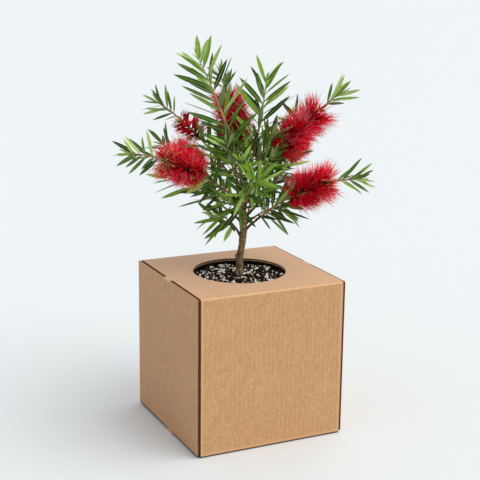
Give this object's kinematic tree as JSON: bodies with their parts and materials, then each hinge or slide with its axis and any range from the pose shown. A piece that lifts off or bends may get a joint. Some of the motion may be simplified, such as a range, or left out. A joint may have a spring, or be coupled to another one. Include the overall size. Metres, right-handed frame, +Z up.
{
  "type": "potted bottlebrush",
  "caption": "Young flowering bottlebrush with red spikes and narrow leaves, in a round pot inside a kraft carton with a round window.",
  "frame": {"origin": "centre of the carton's flat underside, on the surface that it stands on", "axes": "+Z up, -Y out of the carton's front face, +X along the front to the right"},
  "size_m": [0.314, 0.2802, 0.495],
  "materials": {
    "kraft_board": "matt kraft corrugated board",
    "black_plastic": "black moulded plastic",
    "potting_mix": "dark bark and peat with white perlite",
    "bark": "rough grey-brown bark",
    "young_bark": "smooth reddish-brown bark",
    "stamens": "fine crimson stamens",
    "green_leaf": "satin green leaves",
    "young_leaf": "satin young green leaves"
  },
  "bodies": {
    "root": {"carton_wrap": "kraft_board", "carton_side_left": "kraft_board", "carton_side_right": "kraft_board", "pot": "black_plastic", "potting_mix": "potting_mix", "trunk": "bark", "bough_right_leader": "young_bark", "bough_upper_left": "young_bark", "bough_left": "young_bark", "bough_rear_top": "young_bark", "bough_upper_right": "young_bark", "bough_right": "young_bark", "bough_front": "young_bark", "bough_low_left": "young_bark", "bough_low_right": "young_bark", "bough_mid_left": "young_bark", "bough_centre_left": "young_bark", "bough_centre_right": "young_bark", "bough_rear_right": "young_bark", "bough_back_left": "young_bark", "bough_back_right": "young_bark", "bough_back_upper": "young_bark", "bough_back_low_left": "young_bark", "bough_back_low_right": "young_bark", "bough_back_middle": "young_bark", "flower_upper_left": "stamens", "flower_left": "stamens", "flower_rear_top": "stamens", "flower_upper_right": "stamens", "flower_right": "stamens", "flower_back_left": "stamens", "flower_back_right": "stamens", "leaves_leader": "green_leaf", "leaves_right_leader": "green_leaf", "leaves_upper_left": "green_leaf", "leaves_left": "green_leaf", "leaves_rear_top": "green_leaf", "leaves_upper_right": "green_leaf", "leaves_right": "green_leaf", "leaves_front": "green_leaf", "leaves_low_left": "green_leaf", "leaves_low_right": "green_leaf", "leaves_mid_left": "green_leaf", "leaves_centre_left": "green_leaf", "leaves_centre_right": "green_leaf", "leaves_rear_right": "green_leaf", "leaves_back_left": "green_leaf", "leaves_back_right": "green_leaf", "leaves_back_upper": "green_leaf", "leaves_back_low_left": "green_leaf", "leaves_back_low_right": "green_leaf", "leaves_back_middle": "green_leaf", "crest_upper_left": "young_leaf", "crest_left": "young_leaf", "crest_rear_top": "young_leaf", "crest_upper_right": "young_leaf", "crest_right": "young_leaf", "crest_back_left": "young_leaf", "crest_back_right": "young_leaf"}
  },
  "joints": []
}
